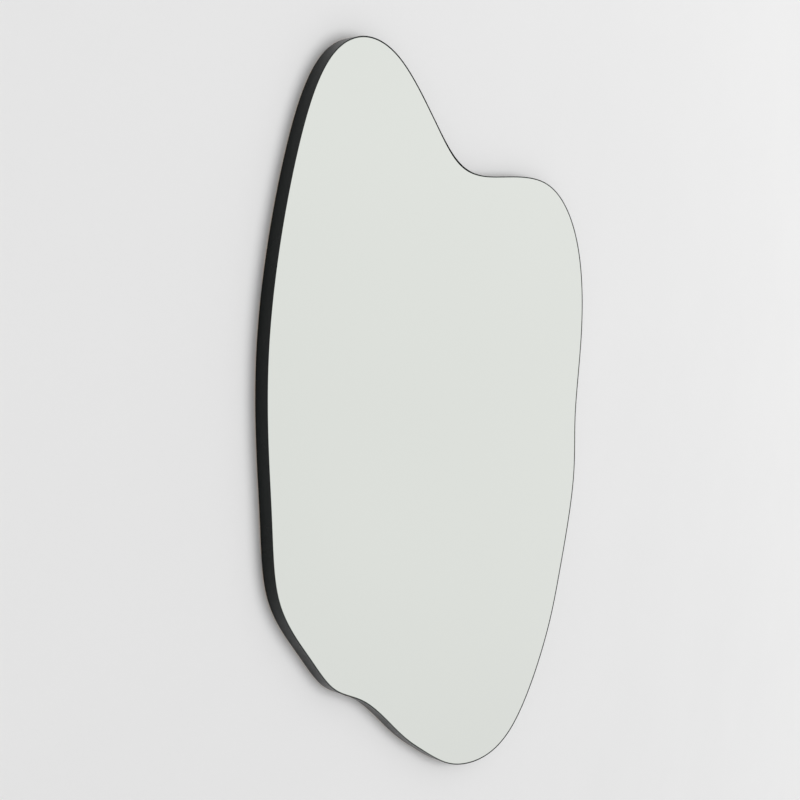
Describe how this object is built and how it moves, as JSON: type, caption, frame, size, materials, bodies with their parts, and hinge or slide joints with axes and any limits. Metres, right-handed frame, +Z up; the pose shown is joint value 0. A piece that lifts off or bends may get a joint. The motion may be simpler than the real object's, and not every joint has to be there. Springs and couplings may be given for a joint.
{
  "type": "wall mirror",
  "caption": "Wall mirror with a free-form outline: silvered glass in a narrow black steel strip, on a board hung by D-rings.",
  "frame": {"origin": "on the wall plane, behind the middle of the mirror's width and height", "axes": "+Z up, +Y into the wall, +X to the right as seen from the front; the glass faces -Y"},
  "size_m": [0.84, 0.02, 1.083],
  "materials": {
    "black_powder_coat": "satin black powder coat on steel",
    "silvered_glass": "polished silvered float glass with a very faint green cast",
    "safety_film": "smooth pale safety film",
    "foam_tape": "matte white closed-cell foam",
    "fibreboard": "matte tan fibreboard",
    "zinc_plate": "bright zinc-plated steel",
    "black_rubber": "matte black rubber"
  },
  "bodies": {
    "mirror_body": {"steel_strip": "black_powder_coat", "mirror_glass": "silvered_glass", "safety_film": "safety_film", "backboard": "fibreboard", "foam_tape_1": "foam_tape", "foam_tape_2": "foam_tape", "foam_tape_3": "foam_tape", "foam_tape_4": "foam_tape", "foam_tape_5": "foam_tape", "foam_tape_6": "foam_tape", "foam_tape_7": "foam_tape", "lug_1": "black_powder_coat", "lug_screw_1": "zinc_plate", "lug_2": "black_powder_coat", "lug_screw_2": "zinc_plate", "lug_3": "black_powder_coat", "lug_screw_3": "zinc_plate", "lug_4": "black_powder_coat", "lug_screw_4": "zinc_plate", "lug_5": "black_powder_coat", "lug_screw_5": "zinc_plate", "lug_6": "black_powder_coat", "lug_screw_6": "zinc_plate", "lug_7": "black_powder_coat", "lug_screw_7": "zinc_plate", "lug_8": "black_powder_coat", "lug_screw_8": "zinc_plate", "lug_9": "black_powder_coat", "lug_screw_9": "zinc_plate", "lug_10": "black_powder_coat", "lug_screw_10": "zinc_plate", "hanger_strap_left": "zinc_plate", "hanger_screw_left_1": "zinc_plate", "hanger_screw_left_2": "zinc_plate", "hanger_strap_right": "zinc_plate", "hanger_screw_right_1": "zinc_plate", "hanger_screw_right_2": "zinc_plate", "wall_pad_lower_right": "black_rubber", "wall_pad_lower_left": "black_rubber", "wall_pad_upper_left": "black_rubber", "wall_pad_upper_right": "black_rubber"},
    "left_ring": {"d_ring_left": "zinc_plate"},
    "right_ring": {"d_ring_right": "zinc_plate"}
  },
  "joints": [
    {"name": "left_ring_swing", "type": "hinge", "parent": "mirror_body", "child": "left_ring", "pos_m": [-0.19907, -0.00365, 0.2515], "axis": [1, 0, 0], "range_deg": [0, 176]},
    {"name": "right_ring_swing", "type": "hinge", "parent": "mirror_body", "child": "right_ring", "pos_m": [0.20093, -0.00365, 0.2515], "axis": [1, 0, 0], "range_deg": [0, 176]}
  ]
}
